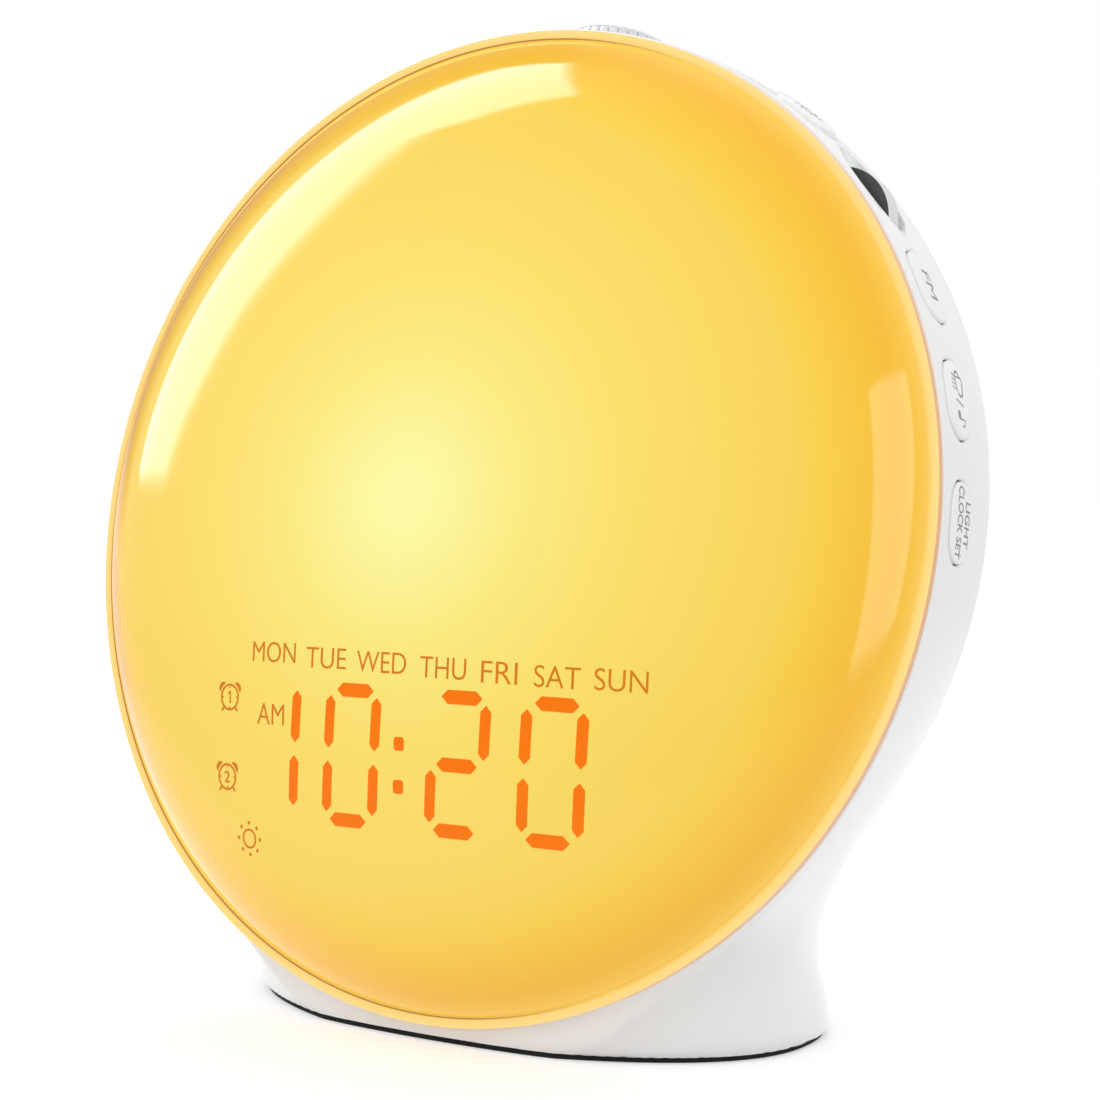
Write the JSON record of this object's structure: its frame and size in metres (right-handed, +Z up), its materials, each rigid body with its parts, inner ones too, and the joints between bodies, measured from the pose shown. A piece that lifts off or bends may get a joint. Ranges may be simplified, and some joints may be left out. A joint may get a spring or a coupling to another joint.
{
  "type": "sunrise alarm clock",
  "caption": "Round sunrise alarm clock with a domed opal lens, a bowl-shaped white housing on a flared foot, side keys, a thumb wheel and a ribbed top knob.",
  "frame": {"origin": "centre of the foot's flat underside, on the table", "axes": "+Z up, the lit face looks along -Y, +X to the right as the user sees the face"},
  "size_m": [0.1704, 0.0885, 0.175],
  "materials": {
    "white_gloss_shell": "moulded ABS, smooth gloss",
    "white_key": "moulded ABS, fine satin",
    "silver_knob": "satin silver paint on plastic",
    "opal_lens": "opal acrylic lit from behind, warm",
    "white_matte": "white reflector plastic",
    "black_gloss": "moulded, gloss",
    "black_plastic": "moulded, matte",
    "grey_cover": "moulded, fine texture",
    "pad_rubber": "moulded rubber",
    "board_green": "solder mask on glass fibre",
    "board_white": "white solder mask on aluminium",
    "led_yellow": "phosphor in white packages",
    "digit_orange": "diffuser film, lit",
    "steel": "zinc plated steel",
    "nickel": "nickel plated shell",
    "magnet_grey": "plated steel pot",
    "cone_black": "pressed paper cone",
    "cell_steel": "stainless can"
  },
  "bodies": {
    "housing": {"rear_housing": "white_gloss_shell", "base_cover": "grey_cover", "grip_pad": "pad_rubber", "front_lens": "opal_lens", "reflector_pan": "white_matte", "lamp_board": "board_white", "lamp_leds": "led_yellow", "display_box": "white_matte", "display_segments": "digit_orange", "legend_windows": "digit_orange", "display_board": "board_green", "main_board": "board_green", "board_parts": "black_plastic", "speaker_frame": "black_plastic", "speaker_cone": "cone_black", "speaker_magnet": "magnet_grey", "speaker_grille": "white_key", "right_key_board": "board_green", "upper_key_board": "board_green", "left_key_board": "board_green", "key_switches": "black_plastic", "knob_board": "board_green", "knob_encoder": "black_plastic", "wheel_board": "board_green", "wheel_encoder": "black_plastic", "port_board": "board_green", "dc_jack": "black_plastic", "usb_socket": "nickel", "battery_door": "white_key", "battery_holder": "black_plastic", "coin_cell": "cell_steel", "battery_screw": "steel", "housing_screws": "steel", "base_screws": "steel", "board_screws": "steel"},
    "dimmer_key": {"dimmer_key": "white_key"},
    "sound_key": {"sound_key": "white_key"},
    "radio_key": {"radio_key": "white_key"},
    "colour_key": {"colour_key": "white_key"},
    "alarm_one_key": {"alarm_one_key": "white_key"},
    "alarm_two_key": {"alarm_two_key": "white_key"},
    "sleep_key": {"sleep_key": "white_key"},
    "knob_plunger": {"knob_plunger": "steel"},
    "light_knob": {"light_knob": "silver_knob"},
    "volume_wheel": {"volume_wheel": "black_gloss"}
  },
  "joints": [
    {"name": "dimmer_press", "type": "slide", "parent": "housing", "child": "dimmer_key", "axis": [-0.9744, -0.0391, -0.2215], "range_m": [0, 0.0008], "stiffness_N_per_m": 900, "springref_m": -0.0006},
    {"name": "sound_press", "type": "slide", "parent": "housing", "child": "sound_key", "axis": [-0.9744, -0.0391, -0.2215], "range_m": [0, 0.0008], "stiffness_N_per_m": 900, "springref_m": -0.0006},
    {"name": "radio_press", "type": "slide", "parent": "housing", "child": "radio_key", "axis": [-0.9744, -0.0391, -0.2215], "range_m": [0, 0.0008], "stiffness_N_per_m": 900, "springref_m": -0.0006},
    {"name": "colour_press", "type": "slide", "parent": "housing", "child": "colour_key", "axis": [-0.6157, -0.1368, -0.776], "range_m": [0, 0.0008], "stiffness_N_per_m": 900, "springref_m": -0.0006},
    {"name": "alarm_one_press", "type": "slide", "parent": "housing", "child": "alarm_one_key", "axis": [0.9744, -0.0391, -0.2215], "range_m": [0, 0.0008], "stiffness_N_per_m": 900, "springref_m": -0.0006},
    {"name": "alarm_two_press", "type": "slide", "parent": "housing", "child": "alarm_two_key", "axis": [0.9744, -0.0391, -0.2215], "range_m": [0, 0.0008], "stiffness_N_per_m": 900, "springref_m": -0.0006},
    {"name": "sleep_press", "type": "slide", "parent": "housing", "child": "sleep_key", "axis": [0.9744, -0.0391, -0.2215], "range_m": [0, 0.0008], "stiffness_N_per_m": 900, "springref_m": -0.0006},
    {"name": "knob_press", "type": "slide", "parent": "housing", "child": "knob_plunger", "axis": [0, -0.4147, -0.91], "range_m": [0, 0.001], "stiffness_N_per_m": 1000, "springref_m": -0.0008},
    {"name": "knob_turn", "type": "hinge", "parent": "knob_plunger", "child": "light_knob", "pos_m": [0, 0.02646, 0.16421], "axis": [0, 0.4147, 0.91], "continuous": true},
    {"name": "volume_turn", "type": "hinge", "parent": "housing", "child": "volume_wheel", "pos_m": [0.06008, -0.00179, 0.13353], "axis": [0, -0.9848, 0.1736], "continuous": true}
  ]
}
